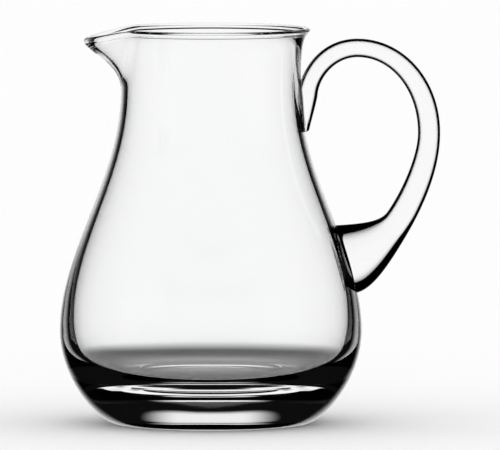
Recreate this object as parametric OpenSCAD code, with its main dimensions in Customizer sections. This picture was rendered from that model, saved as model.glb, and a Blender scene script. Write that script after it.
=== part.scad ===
// Clear glass pitcher: a blown body with a pulled spout, and a strap handle sealed on hot.
// The origin is on the body's axis at the table, with +Z up, the spout at -X and the handle at +X.

/* [Body] */
// Height from the table to the top of the rim
body_h = 198; // [185:1:230]
// Outer radius of the belly at its widest ring
belly_r = 75.6; // [66:0.2:90]
// Height of the belly's widest ring
belly_z = 46.5; // [40:0.5:60]
// Outer radius of the neck at its narrowest ring
neck_r = 45; // [40:0.2:52]
// Height of the neck's narrowest ring
neck_z = 167; // [155:0.5:178]
// Outer radius of the rim
rim_r = 49.8; // [46:0.2:56]
// Wall at the belly's widest ring
belly_wall = 6.6; // [4:0.1:9]
// Wall at the neck
neck_wall = 3.4; // [2:0.1:5]
// Wall at the rim, which is rounded over
rim_wall = 3; // [2:0.1:5]

/* [Base] */
// Thickness of the base, from the table to the middle of the inner floor
base_t = 20.5; // [14:0.5:28]
// Rise of the inner floor's middle above its edge
floor_rise = 5; // [0:0.5:8]
// Height of the cavity's widest ring
cavity_z = 52; // [44:0.5:60]
// Outer radius of the flat ring that the pitcher stands on
foot_r = 47; // [42:0.5:54]
// Inner radius of the flat ring, where the hollow underside starts
punt_r = 38; // [20:0.5:40]
// Depth of the hollow underside
punt_h = 4; // [1:0.5:10]

/* [Spout] */
// Distance from the axis to the outside of the spout's tip
spout_reach = 63.5; // [57:0.5:72]
// Drop of the spout's tip below the rim
spout_drop = 5.2; // [0:0.1:9]
// Wall at the spout's tip
spout_wall = 4; // [2:0.1:5]
// Angle that the spout takes up on each side of its middle
spout_spread = 42; // [30:1:60]

/* [Handle] */
// Distance from the axis to the outside of the loop
loop_reach = 114.7; // [104:0.2:126]
// Height at which the loop stands out furthest
loop_reach_z = 145.5; // [138:0.5:152]
// Height of the top of the loop
loop_top = 192.6; // [186:0.2:205]
// Distance from the axis to the top of the loop
loop_top_x = 73.3; // [66:0.2:80]
// Thickness of the strap at the top of the loop
top_t = 9.4; // [7:0.1:12]
// Thickness of the strap where the loop stands out furthest
side_t = 11.2; // [8:0.1:14]
// Width of the strap around the loop
strap_w = 12; // [9:0.5:16]
// Width of the strap at the elbow above the pad
elbow_w = 15; // [10:0.5:20]
// Height of the middle of the pad on the belly
pad_z = 82; // [76:0.5:88]
// Height of the pad
pad_h = 34; // [26:0.5:38]
// Width of the pad
pad_w = 25; // [20:0.5:30]
// Height at which the strap turns down along the neck
tail_z = 168; // [160:0.5:172]
// Height of the tail's tip on the neck
tail_tip_z = 146; // [140:0.5:152]
// Width of the tail
tail_w = 15; // [10:0.5:18]
// How far the strap stands off the neck where it turns down
tail_t = 8.4; // [6:0.1:10]
// How far the tail's tip stands off the neck
tail_tip_t = 2.2; // [2:0.1:5]

/* [Hidden] */

// Steps along each curve of an outline, and sides around the axis
curve_steps = 14;
mouth_steps = 12;
lip_steps = 6;
body_sides = 72;
// Steps along each stretch of the handle, and sides around the strap
strap_steps = 12;
strap_sides = 28;
// How far the mouth's ring is let into the lower wall, and how far it stays inside the wall's faces
tenon_h = 1;
seam = 0.06;
// How far the strap's tail and pad sink past the body's surface before they are trimmed to it
tail_sink = 1.2;
pad_sink = 5;

// Outline of the outside, each curve from its lower end to its upper end
heel_flat_share = 0.31;
belly_low_share = 0.53;
belly_high_share = 0.33;
neck_low_share = 0.37;
lip_z = body_h - rim_wall / 2;
heel_curve = [
    [foot_r, 0],
    [foot_r + heel_flat_share * (belly_r - foot_r), 0],
    [belly_r, belly_z * (1 - belly_low_share)],
    [belly_r, belly_z]
];
shoulder_curve = [
    [belly_r, belly_z],
    [belly_r, belly_z + belly_high_share * (neck_z - belly_z)],
    [neck_r, neck_z - neck_low_share * (neck_z - belly_z)],
    [neck_r, neck_z]
];
flare_rise_share = 0.75;
flare_out_share = 0.22;
flare_top_share = 0.875;
flare_curve = [
    [neck_r, neck_z],
    [neck_r, neck_z + flare_rise_share * (lip_z - neck_z)],
    [neck_r + flare_out_share * (rim_r - neck_r), neck_z + flare_top_share * (lip_z - neck_z)],
    [rim_r, lip_z]
];

// Outline of the spout along its middle, from the same ring of the neck
tip_z = lip_z - spout_drop;
spout_rise_share = 0.57;
spout_out_share = 0.94;
spout_top_share = 0.76;
spout_curve = [
    [neck_r, neck_z],
    [neck_r, neck_z + spout_rise_share * (tip_z - neck_z)],
    [neck_r + spout_out_share * (spout_reach - neck_r), neck_z + spout_top_share * (tip_z - neck_z)],
    [spout_reach, tip_z]
];
// The spout is narrower at its root than at the rim
spout_root_share = 0.6;

// Outline of the cavity, each curve from its lower end to its upper end
cavity_r = belly_r - belly_wall;
bore_r = neck_r - neck_wall;
floor_flat_share = 0.82;
floor_low_share = 0.7;
floor_z = base_t - floor_rise;
floor_curve = [
    [0, floor_z],
    [floor_flat_share * cavity_r, floor_z],
    [cavity_r, cavity_z - floor_low_share * (cavity_z - floor_z)],
    [cavity_r, cavity_z]
];
cavity_curve = [
    [cavity_r, cavity_z],
    [cavity_r, cavity_z + belly_high_share * (neck_z - cavity_z)],
    [bore_r, neck_z - neck_low_share * (neck_z - cavity_z)],
    [bore_r, neck_z]
];

function curve_point(c, t) =
    pow(1 - t, 3) * c[0] + 3 * pow(1 - t, 2) * t * c[1] + 3 * (1 - t) * t * t * c[2] + pow(t, 3) * c[3];
function curve_run(c, steps, first = 0) = [for (i = [first:steps]) curve_point(c, i / steps)];
function reversed(list) = [for (i = [len(list) - 1:-1:0]) list[i]];

// The hollow underside is a shallow dome
punt_run = [for (i = [0:curve_steps]) [punt_r * i / curve_steps, punt_h * (1 - pow(i / curve_steps, 2))]];
outer_run = concat(curve_run(heel_curve, curve_steps), curve_run(shoulder_curve, curve_steps, 1));
// The inner floor rises to a soft dome in its middle
dome_share = 0.87;
dome_power = 3.5;
function floor_dome(r) = floor_rise * pow(1 - pow(min(1, r / (dome_share * cavity_r)), dome_power), 2);
floor_run = [for (p = curve_run(floor_curve, curve_steps)) p + [0, floor_dome(p[0])]];
inner_run = concat(floor_run, curve_run(cavity_curve, curve_steps, 1));
mouth_run = curve_run(flare_curve, mouth_steps, 1);

// Outer radius at a height, read along the outline
wall_heights = [for (p = concat(outer_run, mouth_run)) [p[1], p[0]]];
function wall_r(z) = lookup(z, wall_heights);

// The wall up to the neck, turned about the axis
module lower_wall() {
    rotate_extrude($fn = body_sides)
        polygon(concat(punt_run, outer_run, reversed(inner_run)));
}

// How much of the spout's outline is taken, at an angle from its middle and a share of the mouth's height
function spout_pull(angle, up) =
    let (side = abs(angle) / (spout_spread * (spout_root_share + (1 - spout_root_share) * up)))
    side < 1 ? (1 + cos(180 * side)) / 2 : 0;
function mouth_point(angle, up) =
    let (pull = spout_pull(angle, up))
    (1 - pull) * curve_point(flare_curve, up) + pull * curve_point(spout_curve, up);
// The wall grows from the neck's to the rim's, which is thicker at the spout's tip
function lip_wall(angle) = rim_wall + (spout_wall - rim_wall) * spout_pull(angle, 1);
function mouth_wall(angle, up) = neck_wall + (lip_wall(angle) - neck_wall) * up;

// One upright slice of the mouth's wall: up the outside, over the rounded rim and down the inside
function mouth_slice(angle) =
    let (
        lip_r = lip_wall(angle) / 2,
        middle = mouth_point(angle, 1) - [lip_r, 0],
        outside = [for (i = [1:mouth_steps]) mouth_point(angle, i / mouth_steps)],
        lip = [for (i = [1:lip_steps - 1])
            middle + lip_r * [cos(180 * i / lip_steps), sin(180 * i / lip_steps)]],
        inside = [for (i = [mouth_steps:-1:1])
            mouth_point(angle, i / mouth_steps) - [mouth_wall(angle, i / mouth_steps), 0]]
    )
    concat(
        [[neck_r - seam, neck_z - tenon_h], [neck_r - seam, neck_z]],
        outside, lip, inside,
        [[bore_r + seam, neck_z], [bore_r + seam, neck_z - tenon_h]]
    );

// The neck's flare, the rim and the spout, as one closed ring
module mouth() {
    slices = [for (i = [0:body_sides - 1]) mouth_slice(360 * i / body_sides - 180)];
    count = len(slices[0]);
    points = [for (i = [0:body_sides - 1]) for (p = slices[i])
        [-p[0] * cos(360 * i / body_sides - 180), -p[0] * sin(360 * i / body_sides - 180), p[1]]];
    faces = [for (i = [0:body_sides - 1]) for (j = [0:count - 1])
        let (
            a = i * count + j,
            b = i * count + (j + 1) % count,
            c = (i + 1) % body_sides * count + (j + 1) % count,
            d = (i + 1) % body_sides * count + j
        )
        each [[a, b, c], [a, c, d]]];
    polyhedron(points, faces);
}

module body() {
    color([0.86, 0.9, 0.9, 0.5]) union() {
        lower_wall();
        mouth();
    }
}

// The body as if it were solid, which trims the handle to the surface that it is sealed on
module body_blank() {
    rotate_extrude($fn = body_sides)
        polygon(concat([[0, 0]], outer_run, mouth_run, [[0, lip_z]]));
}

// Places that the strap's outer and inner edge pass, seen from the side
pad_low = pad_z - pad_h / 2;
pad_high = pad_z + pad_h / 2;
crown_out = [loop_top_x, loop_top];
crown_in = [loop_top_x, loop_top - top_t];
side_out = [loop_reach, loop_reach_z];
side_in = [loop_reach - side_t, loop_reach_z];
pad_toe = [wall_r(pad_low), pad_low];
pad_crest = [wall_r(pad_high), pad_high];
turn_out = [wall_r(tail_z) - tail_sink, tail_z];
turn_in = [wall_r(tail_z) + tail_t, tail_z - tail_t / 2];
tip_out = [wall_r(tail_tip_z) - tail_sink, tail_tip_z];
tip_in = [wall_r(tail_tip_z) + tail_tip_t, tail_tip_z + tail_tip_t / 2];

// A place between two others, with a share of the way in each direction
function between(a, b, shares) =
    [a[0] + (b[0] - a[0]) * shares[0], a[1] + (b[1] - a[1]) * shares[1]];

// Each stretch of the strap follows an outer and an inner edge, curved by shares of the way between places
tip_shares = [[0.6, -0.15], [1, 0.3]];
tail_out_shares = [[0.35, 0.35], [0.8, 0.7]];
tail_in_shares = [[0.3, 0.33], [0.75, 0.67]];
rise_out_shares = [[0.1, 0.5], [0.44, 1]];
rise_in_shares = [[0.03, 0.52], [0.48, 1]];
round_shares = [[0.56, 0], [1, 0.44]];
run_out_shares = [[1, 0.77], [0.8, 0.54], [0.58, 0.35]];
run_in_shares = [[1, 0.763], [0.817, 0.39], [0.635, 0.157]];
pad_out_shares = [[0.355, 0.157], [0.15, 0]];
pad_in_shares = [[0.55, 0.047], [0.38, 0.02]];
function pulled(a, b, shares) = [a, between(a, b, shares[0]), between(a, b, shares[1]), b];
function run_edge(side, end, shares) = concat([side], [for (s = shares) between(end, side, s)]);
function pad_edge(side, end, elbow, shares) = [
    between(end, side, elbow),
    between(end, side, shares[0]),
    between(end, side, shares[1]),
    end - [pad_sink, 0]
];
tip_edges = [[tip_out, tip_out, tip_out, tip_out], pulled(tip_out, tip_in, tip_shares)];
tail_edges = [pulled(tip_out, turn_out, tail_out_shares), pulled(tip_in, turn_in, tail_in_shares)];
rise_edges = [pulled(turn_out, crown_out, rise_out_shares), pulled(turn_in, crown_in, rise_in_shares)];
round_edges = [pulled(crown_out, side_out, round_shares), pulled(crown_in, side_in, round_shares)];
run_edges = [run_edge(side_out, pad_toe, run_out_shares), run_edge(side_in, pad_crest, run_in_shares)];
pad_edges = [
    pad_edge(side_out, pad_toe, run_out_shares[2], pad_out_shares),
    pad_edge(side_in, pad_crest, run_in_shares[2], pad_in_shares)
];

// A section of the strap: its middle, half thickness as a direction, half width and corners' power
function section(edges, t, wide, corner) =
    let (outer = curve_point(edges[0], t), inner = curve_point(edges[1], t))
    [(outer + inner) / 2, (outer - inner) / 2, wide / 2, corner];
function blend(from, to, share) = from + (to - from) * share;
function ease(t) = (1 - cos(180 * t)) / 2;
// The section's corners: 1 is an ellipse, and a smaller power is squarer
strap_corner = 0.85;
pad_corner = 1;
tip_steps = 5;
tip_w_share = 0.3;
tip_full_share = 0.7;
sections = concat(
    [for (i = [1:tip_steps - 1]) let (t = i / tip_steps)
        section(tip_edges, t, tail_w * blend(tip_w_share, tip_full_share, sqrt(t)), pad_corner)],
    [for (i = [0:strap_steps - 1]) let (
        t = i / strap_steps,
        wide = tail_w * blend(tip_full_share, 1, ease(t))
    )
        section(tail_edges, t, wide, blend(pad_corner, strap_corner, t))],
    [for (i = [0:strap_steps - 1]) let (t = i / strap_steps)
        section(rise_edges, t, blend(tail_w, strap_w, ease(t)), strap_corner)],
    [for (i = [0:strap_steps - 1]) let (t = i / strap_steps)
        section(round_edges, t, strap_w, strap_corner)],
    [for (i = [0:strap_steps - 1]) let (t = i / strap_steps)
        section(run_edges, t, blend(strap_w, elbow_w, ease(t)), strap_corner)],
    [for (i = [0:strap_steps]) let (t = i / strap_steps)
        section(pad_edges, t, blend(elbow_w, pad_w, t), blend(strap_corner, pad_corner, t))]
);

function squared(v, corner) = sign(v) * pow(abs(v), corner);
function section_ring(s) = [for (k = [0:strap_sides - 1])
    let (
        across = s[1] * squared(cos(360 * k / strap_sides), s[3]),
        wide = s[2] * squared(sin(360 * k / strap_sides), s[3])
    )
    [s[0][0] + across[0], wide, s[0][1] + across[1]]];

// The whole strap as one sweep through its sections, flat at both ends
module strap() {
    points = [for (s = sections) each section_ring(s)];
    last = len(sections) - 1;
    sides = [for (i = [0:last - 1]) for (k = [0:strap_sides - 1])
        let (
            a = i * strap_sides + k,
            b = i * strap_sides + (k + 1) % strap_sides,
            c = (i + 1) * strap_sides + (k + 1) % strap_sides,
            d = (i + 1) * strap_sides + k
        )
        each [[a, b, c], [a, c, d]]];
    tip = [for (k = [strap_sides - 1:-1:0]) k];
    root = [for (k = [0:strap_sides - 1]) last * strap_sides + k];
    polyhedron(points, concat(sides, [tip], [root]));
}

module handle() {
    color([0.82, 0.87, 0.88, 0.5]) difference() {
        strap();
        body_blank();
    }
}

body();
handle();
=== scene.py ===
"""Clear glass pitcher: the looks of its blown body and its sealed-on strap handle, in metres."""
import math

import bmesh
import bpy
import numpy as np
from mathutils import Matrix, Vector
from mathutils.kdtree import KDTree


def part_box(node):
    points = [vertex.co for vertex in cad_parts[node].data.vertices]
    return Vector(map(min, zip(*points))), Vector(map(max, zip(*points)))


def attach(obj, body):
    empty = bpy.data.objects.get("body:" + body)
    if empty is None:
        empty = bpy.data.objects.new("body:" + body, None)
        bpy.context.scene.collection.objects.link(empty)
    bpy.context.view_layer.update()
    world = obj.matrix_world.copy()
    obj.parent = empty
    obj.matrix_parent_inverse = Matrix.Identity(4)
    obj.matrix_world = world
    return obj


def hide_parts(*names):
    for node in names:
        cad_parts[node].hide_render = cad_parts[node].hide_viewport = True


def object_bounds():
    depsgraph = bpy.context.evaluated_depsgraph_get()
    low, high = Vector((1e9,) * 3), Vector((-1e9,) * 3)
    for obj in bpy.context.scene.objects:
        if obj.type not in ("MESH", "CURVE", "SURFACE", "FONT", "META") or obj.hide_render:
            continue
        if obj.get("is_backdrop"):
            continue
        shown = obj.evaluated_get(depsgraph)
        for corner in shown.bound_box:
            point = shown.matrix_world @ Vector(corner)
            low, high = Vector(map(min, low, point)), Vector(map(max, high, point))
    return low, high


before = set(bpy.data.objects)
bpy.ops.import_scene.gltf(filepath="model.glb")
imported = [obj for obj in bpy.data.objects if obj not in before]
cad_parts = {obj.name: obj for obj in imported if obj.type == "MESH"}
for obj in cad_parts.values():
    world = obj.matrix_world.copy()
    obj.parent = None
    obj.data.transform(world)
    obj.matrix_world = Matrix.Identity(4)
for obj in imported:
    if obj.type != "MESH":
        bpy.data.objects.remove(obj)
cad_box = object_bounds()


# The body is one vessel of clear blown glass: a heavy base with a hollow underside, a round belly and a
# narrow neck. Its rim is fire polished, and the spout is pulled out of the rim while the glass is soft.
# Blowing leaves the glass faintly wavy and corded, with a few seeds, which are tiny bubbles.
body_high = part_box("body")[1]
body_height = body_high.z
belly_radius = body_high.y
belly_z = 0.0465
neck_radius = 0.045
neck_z = 0.167
rim_radius = 0.0498
belly_wall = 0.0066
neck_wall = 0.0034
mouth_wall = 0.0018
rim_wall = 0.003
bead_height = 0.0008
bead_fillet = 0.0016
base_thickness = 0.0205
floor_rise = 0.005
cavity_z = 0.052
foot_radius = 0.047
punt_radius = 0.038
punt_height = 0.004
spout_reach = 0.0635
spout_drop = 0.0052
spout_wall = 0.004
spout_spread = math.radians(42)
spout_root_share = 0.6
dome_share = 0.87
dome_power = 3.5

# How each curve of the outline is pulled: shares of the way from its start to its end, out and up
heel_pulls = [0.31, 0], [1, 0.47]
shoulder_pulls = [0, 0.33], [1, 0.63]
flare_pulls = [0, 0.75], [0.22, 0.875]
spout_pulls = [0, 0.57], [0.94, 0.76]
floor_pulls = [0.82, 0], [1, 0.3]

# Steps along each curve, and sides around the axis
punt_steps = 22
foot_steps = 8
heel_steps = 40
shoulder_steps = 56
mouth_steps = 64
lip_steps = 20
floor_steps = 90
body_sides = 224
# Steps up the mouth lie closer together towards the rim
rim_crowding = 1.5


def shares(count):
    """Even shares from 0 to 1."""
    return np.linspace(0, 1, count)


def eased(start, end, share):
    """A size that changes smoothly from one end of a stretch to the other."""
    return start + (end - start) * (1 - np.cos(np.pi * share)) / 2


def between(start, end, ways):
    """A place between two others, with a share of the way in each direction."""
    return [a + (b - a) * way for a, b, way in zip(start, end, ways)]


def pulled(start, end, first_pull, second_pull):
    """The four points of a curve between two places."""
    return [start, between(start, end, first_pull), between(start, end, second_pull), end]


def curve(points, places):
    """Places at shares of the way along a smooth curve that is pulled by its two middle points."""
    a, b, c, d = (np.array(p, float) for p in points)
    t = np.array(places)[:, None]
    return (1 - t) ** 3 * a + 3 * (1 - t) ** 2 * t * b + 3 * (1 - t) * t ** 2 * c + t ** 3 * d


lip_z = body_height - rim_wall / 2
cavity_radius = belly_radius - belly_wall
bore_radius = neck_radius - neck_wall
neck = [neck_radius, neck_z]
belly = [belly_radius, belly_z]
cavity = [cavity_radius, cavity_z]
heel_curve = pulled([foot_radius, 0], belly, *heel_pulls)
shoulder_curve = pulled(belly, neck, *shoulder_pulls)
flare_curve = pulled(neck, [rim_radius, lip_z], *flare_pulls)
spout_curve = pulled(neck, [spout_reach, lip_z - spout_drop], *spout_pulls)
floor_curve = pulled([0, base_thickness - floor_rise], cavity, *floor_pulls)
cavity_curve = pulled(cavity, [bore_radius, neck_z], *shoulder_pulls)

punt_share = shares(punt_steps)[1:]
underside = np.stack([punt_radius * punt_share, punt_height * (1 - punt_share ** 2)], 1)
foot_run = np.linspace(punt_radius, foot_radius, foot_steps)[1:-1]
foot_ring = np.stack([foot_run, np.zeros(len(foot_run))], 1)
heel = curve(heel_curve, shares(heel_steps))
shoulder = curve(shoulder_curve, shares(shoulder_steps))[1:]
outside = np.concatenate([underside, foot_ring, heel, shoulder])

floor_run = curve(floor_curve, shares(floor_steps)[::-1])[1:-1]
dome_out = np.minimum(floor_run[:, 0] / (dome_share * cavity_radius), 1)
floor_run[:, 1] += floor_rise * (1 - dome_out ** dome_power) ** 2
inside = np.concatenate([curve(cavity_curve, shares(shoulder_steps)[::-1]), floor_run])


def mouth_slice(angle):
    """Up the outside of the mouth, over its lip and down the inside, at an angle from the spout."""
    up = 1 - (1 - shares(mouth_steps)[1:]) ** rim_crowding
    side = np.abs(angle) / (spout_spread * (spout_root_share + (1 - spout_root_share) * up))
    pull = np.where(side < 1, (1 + np.cos(np.pi * np.minimum(side, 1))) / 2, 0)[:, None]
    outer = (1 - pull) * curve(flare_curve, up) + pull * curve(spout_curve, up)
    around = np.pi * shares(lip_steps)[1:-1]
    rim = rim_wall + (spout_wall - rim_wall) * pull[-1, 0]
    thin = mouth_wall + (spout_wall - mouth_wall) * pull[-1, 0]
    lip = outer[-1] + rim / 2 * np.stack([np.cos(around) - 1, np.sin(around)], 1)
    below = np.linalg.norm(outer - outer[-1], axis=1)
    bead = eased(1, 0, np.clip((below - bead_height) / bead_fillet, 0, 1))
    wall = neck_wall + (thin - neck_wall) * up + (rim - thin) * bead
    inner = outer - np.stack([wall, np.zeros(len(wall))], 1)
    return np.concatenate([outer, lip, inner[::-1]])


def smooth_piece(name, points, faces):
    """A smooth shaded mesh object."""
    mesh = bpy.data.meshes.new(name)
    mesh.from_pydata([tuple(p) for p in points], [], faces)
    mesh.shade_smooth()
    piece = bpy.data.objects.new(name, mesh)
    bpy.context.scene.collection.objects.link(piece)
    return piece


def blown_body():
    """The closed wall of the vessel, turned slice by slice about its axis."""
    slices = []
    for angle in np.linspace(-np.pi, np.pi, body_sides, endpoint=False):
        radius, height = np.concatenate([outside, mouth_slice(angle), inside]).T
        slices.append(np.stack([-radius * np.cos(angle), -radius * np.sin(angle), height], 1))
    count = len(slices[0])
    middles = [[0, 0, punt_height], [0, 0, base_thickness]]
    under, over = body_sides * count, body_sides * count + 1
    faces = []
    for i in range(body_sides):
        here, there = i * count, (i + 1) % body_sides * count
        faces.append((under, there, here))
        faces += [(here + j, there + j, there + j + 1, here + j + 1) for j in range(count - 1)]
        faces.append((over, here + count - 1, there + count - 1))
    return smooth_piece("body_glass", np.concatenate(slices + [middles]), faces)


wave_scale = 26
cord_scale = 60
cord_stretch = (1, 1, 0.16)
seed_scale = 46
seed_size = 0.017
seed_soft = 0.005
smudge_scale = 38
smudge_start = 0.69
smudge_soft = 0.09
clear_tint = (0.985, 0.99, 0.988, 1)
cord_tint = (0.995, 0.997, 0.996, 1)


def tree_maths(tree):
    """Shorthands for the maths nodes of a node tree."""
    nodes, link = tree.nodes, tree.links.new

    def maths(operation, *values):
        node = nodes.new("ShaderNodeMath")
        node.operation = operation
        for socket, value in zip(node.inputs, values):
            if isinstance(value, (int, float)):
                socket.default_value = value
            else:
                link(value, socket)
        return node.outputs["Value"]

    def soft_step(value, middle, soft, to_low, to_high):
        node = nodes.new("ShaderNodeMapRange")
        node.interpolation_type = "SMOOTHSTEP"
        link(value, node.inputs["Value"])
        for socket, number in zip(node.inputs[1:5], (middle - soft, middle + soft, to_low, to_high)):
            socket.default_value = number
        return node.outputs["Result"]

    return maths, soft_step


def blown_glass_marks():
    """Shared marks of hot-worked glass: how they tint, roughen and raise the surface."""
    group = bpy.data.node_groups.new("blown_glass_marks", "ShaderNodeTree")
    for name in ("Wave Height", "Cord Height", "Seed Height", "Smudge"):
        group.interface.new_socket(name, in_out="INPUT", socket_type="NodeSocketFloat")
    group.interface.new_socket("Tint", in_out="OUTPUT", socket_type="NodeSocketColor")
    group.interface.new_socket("Roughness", in_out="OUTPUT", socket_type="NodeSocketFloat")
    group.interface.new_socket("Height", in_out="OUTPUT", socket_type="NodeSocketFloat")
    nodes, link = group.nodes, group.links.new
    maths, soft_step = tree_maths(group)
    source = nodes.new("NodeGroupInput")
    result = nodes.new("NodeGroupOutput")
    place = nodes.new("ShaderNodeTexCoord")

    def noise(scale, detail, stretch=(1, 1, 1)):
        mapping = nodes.new("ShaderNodeMapping")
        mapping.inputs["Scale"].default_value = stretch
        link(place.outputs["Object"], mapping.inputs["Vector"])
        texture = nodes.new("ShaderNodeTexNoise")
        texture.inputs["Scale"].default_value = scale
        texture.inputs["Detail"].default_value = detail
        link(mapping.outputs["Vector"], texture.inputs["Vector"])
        return texture.outputs["Fac"]

    waves = noise(wave_scale, detail=1)
    cords = noise(cord_scale, detail=2, stretch=cord_stretch)
    seeds = nodes.new("ShaderNodeTexVoronoi")
    seeds.inputs["Scale"].default_value = seed_scale
    link(place.outputs["Object"], seeds.inputs["Vector"])
    spots = soft_step(seeds.outputs["Distance"], seed_size, seed_soft, 1, 0)
    height = maths("MULTIPLY", waves, source.outputs["Wave Height"])
    height = maths("ADD", height, maths("MULTIPLY", cords, source.outputs["Cord Height"]))
    height = maths("ADD", height, maths("MULTIPLY", spots, source.outputs["Seed Height"]))
    link(height, result.inputs["Height"])
    smudges = soft_step(noise(smudge_scale, detail=3), smudge_start, smudge_soft, 0, 1)
    link(maths("MULTIPLY", smudges, source.outputs["Smudge"]), result.inputs["Roughness"])
    tint = nodes.new("ShaderNodeMix")
    tint.data_type = "RGBA"
    tint.inputs["A"].default_value = clear_tint
    tint.inputs["B"].default_value = cord_tint
    link(cords, tint.inputs["Factor"])
    link(tint.outputs["Result"], result.inputs["Tint"])
    return group


glass_marks = blown_glass_marks()
glass_ior = 1.5
glass_gloss = (0.45, 0.45, 0.45, 1)
mark_depth = 0.0001


def clear_glass(name, marks):
    """Clear, fire polished glass with its own strength of the marks."""
    glass = bpy.data.materials.new(name)
    glass.use_nodes = True
    nodes, link = glass.node_tree.nodes, glass.node_tree.links.new
    shader = nodes["Principled BSDF"]
    shader.inputs["Transmission Weight"].default_value = 1
    shader.inputs["IOR"].default_value = glass_ior
    shader.inputs["Specular Tint"].default_value = glass_gloss
    worked = nodes.new("ShaderNodeGroup")
    worked.node_tree = glass_marks
    for socket, value in marks.items():
        worked.inputs[socket].default_value = value
    link(worked.outputs["Tint"], shader.inputs["Base Color"])
    link(worked.outputs["Roughness"], shader.inputs["Roughness"])
    bump = nodes.new("ShaderNodeBump")
    bump.inputs["Distance"].default_value = mark_depth
    link(worked.outputs["Height"], bump.inputs["Height"])
    link(bump.outputs["Normal"], shader.inputs["Normal"])
    return glass


body_marks = {"Wave Height": 0.3, "Cord Height": 0.1, "Seed Height": 0.4, "Smudge": 0.02}
body = blown_body()
body.data.materials.append(clear_glass("body_glass", body_marks))
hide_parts("body")
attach(body, "root")


# The handle is one strap of clear drawn glass. Its gather is pressed on the belly as a thick pad, the
# strap is looped up and over, and its flattened tail is laid along the neck. Both ends fuse to the body.
# Painted shade darkens its glass's colour where it turns away from the eye, most of all in the thick
# pad.
handle_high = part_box("handle")[1]
loop_reach = handle_high.x
loop_top = handle_high.z
loop_reach_z = 0.1455
loop_top_x = 0.0733
top_thickness = 0.0094
side_thickness = 0.0112
strap_width = 0.012
elbow_width = 0.015
pad_z = 0.082
pad_height = 0.034
pad_width = 0.025
pad_sink = 0.0025
tail_z = 0.168
tail_tip_z = 0.146
tail_width = 0.015
tail_thickness = 0.0084
tail_tip_thickness = 0.0022
tail_sink = 0.0012
tip_width_share = 0.3
tip_full_share = 0.7
# The section's corners: 1 is an ellipse, and a smaller power is squarer
strap_corner = 0.85
pad_corner = 1.0
strap_sides = 64
strap_steps = 26
tip_steps = 9
wall_steps = 99

# How the outer and the inner edge of each stretch are pulled, in shares of the way between its places
tip_pulls = [0.6, -0.15], [1, 0.3]
tail_out_pulls = [0.35, 0.35], [0.8, 0.7]
tail_in_pulls = [0.3, 0.33], [0.75, 0.67]
rise_out_pulls = [0.1, 0.5], [0.44, 1]
rise_in_pulls = [0.03, 0.52], [0.48, 1]
round_pulls = [0.56, 0], [1, 0.44]
run_out_pulls = [1, 0.77], [0.8, 0.54], [0.58, 0.35]
run_in_pulls = [1, 0.763], [0.817, 0.39], [0.635, 0.157]
pad_out_pulls = [0.355, 0.157], [0.15, 0]
pad_in_pulls = [0.55, 0.047], [0.38, 0.02]

wall_curves = heel_curve, shoulder_curve, flare_curve
wall_outline = np.concatenate([curve(c, shares(wall_steps)) for c in wall_curves])


def on_wall(height, out=0.0, rise=0.0):
    """A place on the body's outside at a height, moved out from the wall and up along it."""
    return [np.interp(height, wall_outline[:, 1], wall_outline[:, 0]) + out, height + rise]


pad_toe = on_wall(pad_z - pad_height / 2)
pad_crest = on_wall(pad_z + pad_height / 2)
crown_out = [loop_top_x, loop_top]
crown_in = [loop_top_x, loop_top - top_thickness]
side_out = [loop_reach, loop_reach_z]
side_in = [loop_reach - side_thickness, loop_reach_z]
turn_out = on_wall(tail_z, -tail_sink)
turn_in = on_wall(tail_z, tail_thickness, -tail_thickness / 2)
tip_out = on_wall(tail_tip_z, -tail_sink)
tip_in = on_wall(tail_tip_z, tail_tip_thickness, tail_tip_thickness / 2)


def run_edge(side, end, pulls):
    """An edge of the strap from the side of the loop down to the elbow."""
    return [side] + [between(end, side, pull) for pull in pulls]


def pad_edge(side, end, elbow_pull, pulls):
    """An edge of the strap from the elbow into the pad, which sinks into the wall."""
    return [between(end, side, pull) for pull in (elbow_pull, *pulls)] + [[end[0] - pad_sink, end[1]]]


def graded(start, end, share):
    """A size that changes evenly from one end of a stretch to the other."""
    return start + (end - start) * share


along = np.arange(strap_steps) / strap_steps
along_pad = np.arange(strap_steps + 1) / strap_steps
along_tip = np.arange(1, tip_steps) / tip_steps
# Each stretch has its outer edge, its inner edge, where its sections lie, their widths and their corners
tip_stretch = (
    pulled(tip_out, tip_out, *tip_pulls),
    pulled(tip_out, tip_in, *tip_pulls),
    along_tip,
    tail_width * graded(tip_width_share, tip_full_share, np.sqrt(along_tip)),
    graded(pad_corner, pad_corner, along_tip),
)
tail_stretch = (
    pulled(tip_out, turn_out, *tail_out_pulls),
    pulled(tip_in, turn_in, *tail_in_pulls),
    along,
    eased(tip_full_share * tail_width, tail_width, along),
    graded(pad_corner, strap_corner, along),
)
rise_stretch = (
    pulled(turn_out, crown_out, *rise_out_pulls),
    pulled(turn_in, crown_in, *rise_in_pulls),
    along,
    eased(tail_width, strap_width, along),
    graded(strap_corner, strap_corner, along),
)
round_stretch = (
    pulled(crown_out, side_out, *round_pulls),
    pulled(crown_in, side_in, *round_pulls),
    along,
    graded(strap_width, strap_width, along),
    graded(strap_corner, strap_corner, along),
)
run_stretch = (
    run_edge(side_out, pad_toe, run_out_pulls),
    run_edge(side_in, pad_crest, run_in_pulls),
    along,
    eased(strap_width, elbow_width, along),
    graded(strap_corner, strap_corner, along),
)
pad_stretch = (
    pad_edge(side_out, pad_toe, run_out_pulls[-1], pad_out_pulls),
    pad_edge(side_in, pad_crest, run_in_pulls[-1], pad_in_pulls),
    along_pad,
    graded(elbow_width, pad_width, along_pad),
    graded(strap_corner, pad_corner, along_pad),
)
stretches = tip_stretch, tail_stretch, rise_stretch, round_stretch, run_stretch, pad_stretch


def squared(wave, corner):
    """Rounds a circle's wave towards a square one: 1 keeps the circle."""
    return np.sign(wave) * np.abs(wave) ** corner


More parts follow.
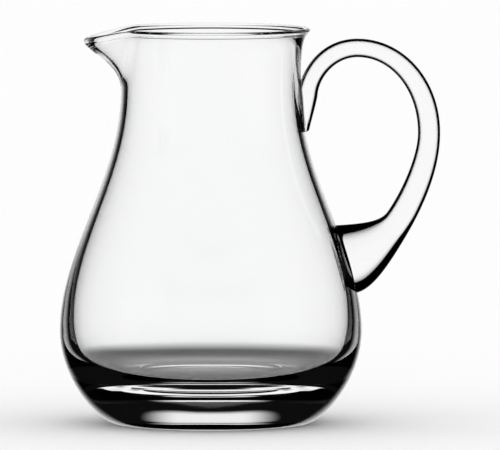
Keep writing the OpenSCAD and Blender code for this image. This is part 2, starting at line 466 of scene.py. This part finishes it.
def drawn_strap():
    """The strap as one sweep through its sections, from the tail's tip to the pad."""
    turn = np.linspace(0, 2 * np.pi, strap_sides, endpoint=False)
    rings = []
    for outer_edge, inner_edge, places, widths, corners in stretches:
        outer, inner = curve(outer_edge, places), curve(inner_edge, places)
        for a, b, width, corner in zip(outer, inner, widths, corners):
            across = squared(np.cos(turn), corner)[:, None] * (a - b) / 2 + (a + b) / 2
            wide = squared(np.sin(turn), corner) * width / 2
            rings.append(np.stack([across[:, 0], wide, across[:, 1]], 1))
    faces = [tuple(range(strap_sides))]
    for i in range(len(rings) - 1):
        here, there = i * strap_sides, (i + 1) * strap_sides
        for k in range(strap_sides):
            after = (k + 1) % strap_sides
            faces.append((here + k, there + k, there + after, here + after))
    root = (len(rings) - 1) * strap_sides
    faces.append(tuple(root + k for k in reversed(range(strap_sides))))
    return smooth_piece("handle_glass", np.concatenate(rings), faces)


handle_marks = {"Wave Height": 0.3, "Cord Height": 0.1, "Seed Height": 0.2, "Smudge": 0.02}
# Painted edge shade: how much of the glass's colour is kept, from facing the eye to edge on
painted_edge_shade_levels = (0.0, 1.0), (0.14, 0.97), (0.22, 0.8), (0.3, 0.4), (0.37, 0.0), (1.0, 0.0)
# Below this height, on the thick pad, the painted shade reaches further in from the edge
pad_painted_shade_top = 0.097
pad_painted_shade_soft = 0.008
pad_painted_shade_gain = 1.9


def paint_edge_shade(glass):
    """Paints shade into the glass's colour where it turns away from the eye, and further in from the
    edge on the thick pad.
    """
    nodes, link = glass.node_tree.nodes, glass.node_tree.links.new
    maths, soft_step = tree_maths(glass.node_tree)
    place = nodes.new("ShaderNodeTexCoord")
    parts = nodes.new("ShaderNodeSeparateXYZ")
    link(place.outputs["Object"], parts.inputs["Vector"])
    gain = soft_step(parts.outputs["Z"], pad_painted_shade_top, pad_painted_shade_soft, pad_painted_shade_gain, 1)
    slant = nodes.new("ShaderNodeLayerWeight")
    ramp = nodes.new("ShaderNodeValToRGB")
    stops = ramp.color_ramp.elements
    while len(stops) < len(painted_edge_shade_levels):
        stops.new(0.5)
    for stop, (position, level) in zip(stops, painted_edge_shade_levels):
        stop.position = position
        stop.color = (level, level, level, 1)
    link(maths("MULTIPLY", slant.outputs["Facing"], gain), ramp.inputs["Fac"])
    painted_shade = nodes.new("ShaderNodeMix")
    painted_shade.data_type = "RGBA"
    painted_shade.blend_type = "MULTIPLY"
    painted_shade.inputs["Factor"].default_value = 1
    colour = nodes["Principled BSDF"].inputs["Base Color"]
    link(colour.links[0].from_socket, painted_shade.inputs["A"])
    link(ramp.outputs["Color"], painted_shade.inputs["B"])
    link(painted_shade.outputs["Result"], colour)
    return glass


handle = drawn_strap()
# The handle's glass gets painted shade at its edges
handle.data.materials.append(paint_edge_shade(clear_glass("handle_glass", handle_marks)))
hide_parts("handle")
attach(handle, "root")


# Both ends of the handle are fused to the body while hot, so no surface is left between the two glasses.
# The union of both is split again where they meet, and each half is closed there by a seal that lets all
# light through.
def seal_finish():
    """Stands for the fused glass inside the joint, where nothing shows."""
    finish = bpy.data.materials.new("fused_seal")
    finish.use_nodes = True
    finish.node_tree.nodes["Principled BSDF"].inputs["Alpha"].default_value = 0
    return finish


def fused_mesh(pieces, seal):
    """The union of body and handle, whose faces keep the number of the piece that they come from."""
    for number, piece in enumerate(pieces):
        piece.data.materials.append(seal)
        piece.data.polygons.foreach_set("material_index", [number] * len(piece.data.polygons))
    vessel, strap = pieces
    union = vessel.modifiers.new("seal", "BOOLEAN")
    union.operation = "UNION"
    union.solver = "MANIFOLD"
    union.object = strap
    joined = vessel.evaluated_get(bpy.context.evaluated_depsgraph_get())
    mesh = bpy.data.meshes.new_from_object(joined)
    vessel.modifiers.clear()
    return mesh


def open_loops(edges):
    """The rings of open edges, one list for each ring."""
    left = dict.fromkeys(edges)
    while left:
        first, _ = left.popitem()
        loop = [first]
        for edge in loop:
            joined = [e for v in edge.verts for e in v.link_edges if e in left]
            for e in joined:
                left.pop(e, None)
            loop += joined
        yield loop


def facing_of(mesh):
    """A function that gives the direction in which a mesh faces nearest to a place."""
    tree = KDTree(len(mesh.vertices))
    for v in mesh.vertices:
        tree.insert(v.co, v.index)
    tree.balance()
    normals = [v.normal.copy() for v in mesh.vertices]
    return lambda place: normals[tree.find(place)[1]]


def split_off(piece, fused, number):
    """Gives a piece its own faces of the fused mesh, and closes them at the seals."""
    facing = facing_of(piece.data)
    work = bmesh.new()
    work.from_mesh(fused)
    other = [f for f in work.faces if f.material_index != number]
    bmesh.ops.delete(work, geom=other, context="FACES")
    for face in work.faces:
        face.material_index = 0
    for loop in list(open_loops([e for e in work.edges if e.is_boundary])):
        cap = bmesh.ops.triangle_fill(work, edges=loop, use_beauty=True)["geom"]
        for face in cap:
            if isinstance(face, bmesh.types.BMFace):
                face.material_index = 1
    bmesh.ops.recalc_face_normals(work, faces=work.faces)
    mesh = bpy.data.meshes.new(piece.name)
    work.to_mesh(mesh)
    work.free()
    mesh.shade_smooth()
    mesh.normals_split_custom_set_from_vertices([facing(v.co) for v in mesh.vertices])
    for finish in piece.data.materials:
        mesh.materials.append(finish)
    piece.data = mesh


sealed_pieces = body, handle
fused = fused_mesh(sealed_pieces, seal_finish())
for number, piece in enumerate(sealed_pieces):
    split_off(piece, fused, number)


# The set is a bright field for glass: white all round and a white floor, so clear glass stays bright.
# Light that the glass reflects meets a dark studio with a few bright windows instead, so edges go dark.
floor_radius = 8.0
floor_sides = 96
floor_gap = 0.00005
floor_colour = (0.985, 0.985, 0.985, 1)
# Painted shade: close behind the pitcher's two walls the floor's colour is darkened for light seen
# through them, as far as this from the glass
painted_shade_reach = 0.072
painted_shade_soft = 0.03
painted_shade_level = 0.1
# The studio's windows stand evenly round the pitcher, one of them straight behind it, in degrees
studio_level = 0.004
window_count = 3
window_half_width = 18
window_side_soft = 9
window_low = -28.5
window_high = 17
window_end_soft = 3
side_window_level = 0.3
# The ceiling over the bright field is dimmer, from this rise on
ceiling_rise = 25
ceiling_soft = 7
ceiling_level = 0.15
# Counts of what light has met on its way, each between two whole numbers
any_reflection = 0.5
second_reflection = 1.5
fourth_surface = 3.5


def pale_floor():
    """A wide plain floor, which only light that the glass reflects does not meet, with painted shade
    close behind the pitcher's walls.
    """
    bpy.ops.mesh.primitive_circle_add(
        vertices=floor_sides, radius=floor_radius, fill_type="NGON", location=(0, 0, -floor_gap))
    floor = bpy.context.object
    floor.name = "floor"
    paint = bpy.data.materials.new("floor_paint")
    paint.use_nodes = True
    nodes, link = paint.node_tree.nodes, paint.node_tree.links.new
    maths, soft_step = tree_maths(paint.node_tree)
    path = nodes.new("ShaderNodeLightPath")
    # Painted shade: the floor goes dark where light that passed both walls meets it close behind the
    # glass
    painted_shade = soft_step(path.outputs["Ray Length"], painted_shade_reach, painted_shade_soft, 1 - painted_shade_level, 0)
    both_walls = maths("GREATER_THAN", path.outputs["Transmission Depth"], fourth_surface)
    seen_through = maths("MULTIPLY", both_walls, path.outputs["Is Transmission Ray"])
    tone = nodes.new("ShaderNodeMix")
    tone.data_type = "RGBA"
    tone.inputs["A"].default_value = floor_colour
    tone.inputs["B"].default_value = (0, 0, 0, 1)
    link(maths("MULTIPLY", painted_shade, seen_through), tone.inputs["Factor"])
    shader = nodes["Principled BSDF"]
    link(tone.outputs["Result"], shader.inputs["Base Color"])
    shader.inputs["Roughness"].default_value = 1
    shader.inputs["Specular IOR Level"].default_value = 0
    unseen = nodes.new("ShaderNodeBsdfTransparent")
    mix = nodes.new("ShaderNodeMixShader")
    link(maths("GREATER_THAN", path.outputs["Glossy Depth"], any_reflection), mix.inputs["Fac"])
    link(shader.outputs["BSDF"], mix.inputs[1])
    link(unseen.outputs["BSDF"], mix.inputs[2])
    link(mix.outputs["Shader"], nodes["Material Output"].inputs["Surface"])
    floor.data.materials.append(paint)
    floor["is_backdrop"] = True


def bright_field():
    """White light all round, with the dark studio and its windows for light that the glass reflects."""
    world = bpy.data.worlds.new("bright_field")
    bpy.context.scene.world = world
    world.use_nodes = True
    nodes, link = world.node_tree.nodes, world.node_tree.links.new
    maths, soft_step = tree_maths(world.node_tree)
    sky = nodes["Background"]
    sky.inputs["Color"].default_value = (1, 1, 1, 1)
    place = nodes.new("ShaderNodeTexCoord")
    parts = nodes.new("ShaderNodeSeparateXYZ")
    link(place.outputs["Generated"], parts.inputs["Vector"])
    rise = maths("DEGREES", maths("ARCSINE", parts.outputs["Z"]))
    turn = maths("DEGREES", maths("ARCTAN2", parts.outputs["X"], parts.outputs["Y"]))
    apart = 360 / window_count
    off_window = maths("FLOORED_MODULO", maths("ADD", turn, apart / 2), apart)
    off_window = maths("ABSOLUTE", maths("SUBTRACT", off_window, apart / 2))
    across = soft_step(off_window, window_half_width, window_side_soft, 1, 0)
    under_top = soft_step(rise, window_high, window_end_soft, 1, 0)
    over_sill = soft_step(rise, window_low, window_end_soft, 0, 1)
    strength = soft_step(maths("ABSOLUTE", turn), apart / 2, window_side_soft, 1, side_window_level)
    upright = maths("MULTIPLY", under_top, over_sill)
    window = maths("MULTIPLY", maths("MULTIPLY", across, strength), upright)
    path = nodes.new("ShaderNodeLightPath")
    reflected = maths("GREATER_THAN", path.outputs["Glossy Depth"], any_reflection)
    once = maths("LESS_THAN", path.outputs["Glossy Depth"], second_reflection)
    through = maths("GREATER_THAN", path.outputs["Transmission Depth"], fourth_surface)
    studio = maths("MAXIMUM", maths("MAXIMUM", window, studio_level), maths("MULTIPLY", through, once))
    ceiling = soft_step(rise, ceiling_rise, ceiling_soft, 1, ceiling_level)
    field = maths("MAXIMUM", ceiling, maths("SUBTRACT", 1, path.outputs["Is Transmission Ray"]))
    field = maths("MULTIPLY", field, maths("SUBTRACT", 1, reflected))
    link(maths("ADD", field, maths("MULTIPLY", studio, reflected)), sky.inputs["Strength"])


pale_floor()
bright_field()


# The camera stands well back with a long lens and looks down a little, as in the photograph.
camera_distance = 7.0
camera_rise = math.radians(3.9)
camera_aim = Vector((0.0196, 0, 0.0992))
camera_sensor = 36
camera_clip = 100
frame_width = 0.25
camera_data = bpy.data.cameras.new("camera")
camera_data.sensor_width = camera_sensor
camera_data.lens = camera_sensor * camera_distance / frame_width
camera_data.clip_end = camera_clip
camera = bpy.data.objects.new("camera", camera_data)
bpy.context.scene.collection.objects.link(camera)
towards = Vector((0, -math.cos(camera_rise), math.sin(camera_rise)))
camera.location = camera_aim + camera_distance * towards
camera.rotation_euler = (-towards).to_track_quat("-Z", "Y").to_euler()
bpy.context.scene.camera = camera
bpy.context.scene.view_settings.view_transform = "Standard"

boxes = {"cad": cad_box, "visual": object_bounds()}
{name: [list(low), list(high)] for name, (low, high) in boxes.items()}
